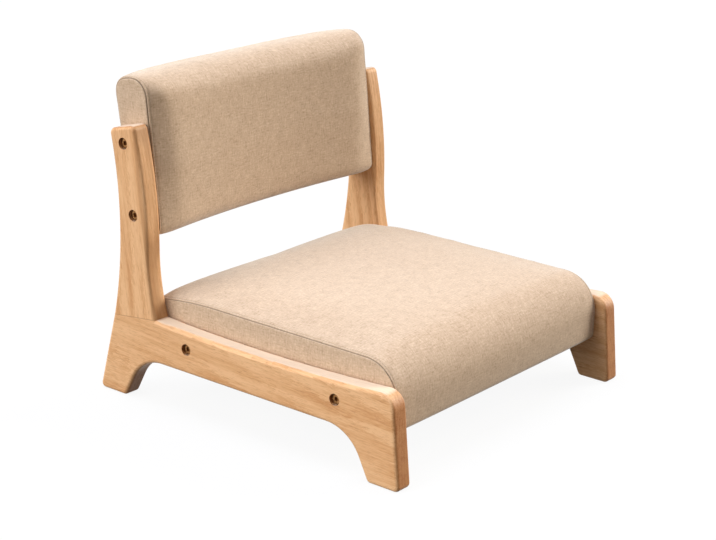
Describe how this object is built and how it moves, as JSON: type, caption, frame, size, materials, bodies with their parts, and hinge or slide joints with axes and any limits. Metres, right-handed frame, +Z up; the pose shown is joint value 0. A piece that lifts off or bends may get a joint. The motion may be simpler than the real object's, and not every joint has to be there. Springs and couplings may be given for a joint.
{
  "type": "low floor chair",
  "caption": "Low floor chair with solid wood side frames, a crowned upholstered seat and a curved upholstered back bolted between two leaning posts.",
  "frame": {"origin": "on the floor, under the middle of the chair's bounding box", "axes": "+Z up, the sitter faces -Y, +X to the right as seen from the front, across the width"},
  "size_m": [0.45, 0.4728, 0.388],
  "materials": {
    "oak_frame": "clear satin lacquer",
    "inner_wood": "raw planed pine",
    "plywood": "raw plywood",
    "beech_dowel": "raw beech",
    "upholstery": "heathered woven fabric, matt",
    "foam": "polyurethane foam",
    "dust_cover": "black non-woven cloth",
    "bolt_steel": "antique bronze finish",
    "insert_steel": "zinc plated",
    "screw_steel": "zinc plated"
  },
  "bodies": {
    "root": {"back_board_front": "plywood", "back_board_rear": "plywood", "back_bolts_left": "bolt_steel", "back_bolts_right": "bolt_steel", "back_cover": "upholstery", "back_foam": "foam", "back_frame_dowels": "beech_dowel", "back_inserts_left": "insert_steel", "back_inserts_right": "insert_steel", "back_post_left": "oak_frame", "back_post_right": "oak_frame", "back_rail_bottom": "inner_wood", "back_rail_top": "inner_wood", "back_stile_left": "inner_wood", "back_stile_right": "inner_wood", "post_dowels_left": "beech_dowel", "post_dowels_right": "beech_dowel", "seat_board": "plywood", "seat_board_screws": "screw_steel", "seat_bolts_left": "bolt_steel", "seat_bolts_right": "bolt_steel", "seat_cover": "upholstery", "seat_dust_cover": "dust_cover", "seat_foam": "foam", "seat_frame_dowels": "beech_dowel", "seat_frame_front": "inner_wood", "seat_frame_middle": "inner_wood", "seat_frame_rear": "inner_wood", "seat_frame_side_left": "inner_wood", "seat_frame_side_right": "inner_wood", "seat_inserts_left": "insert_steel", "seat_inserts_right": "insert_steel", "side_rail_left": "oak_frame", "side_rail_right": "oak_frame"}
  },
  "joints": []
}
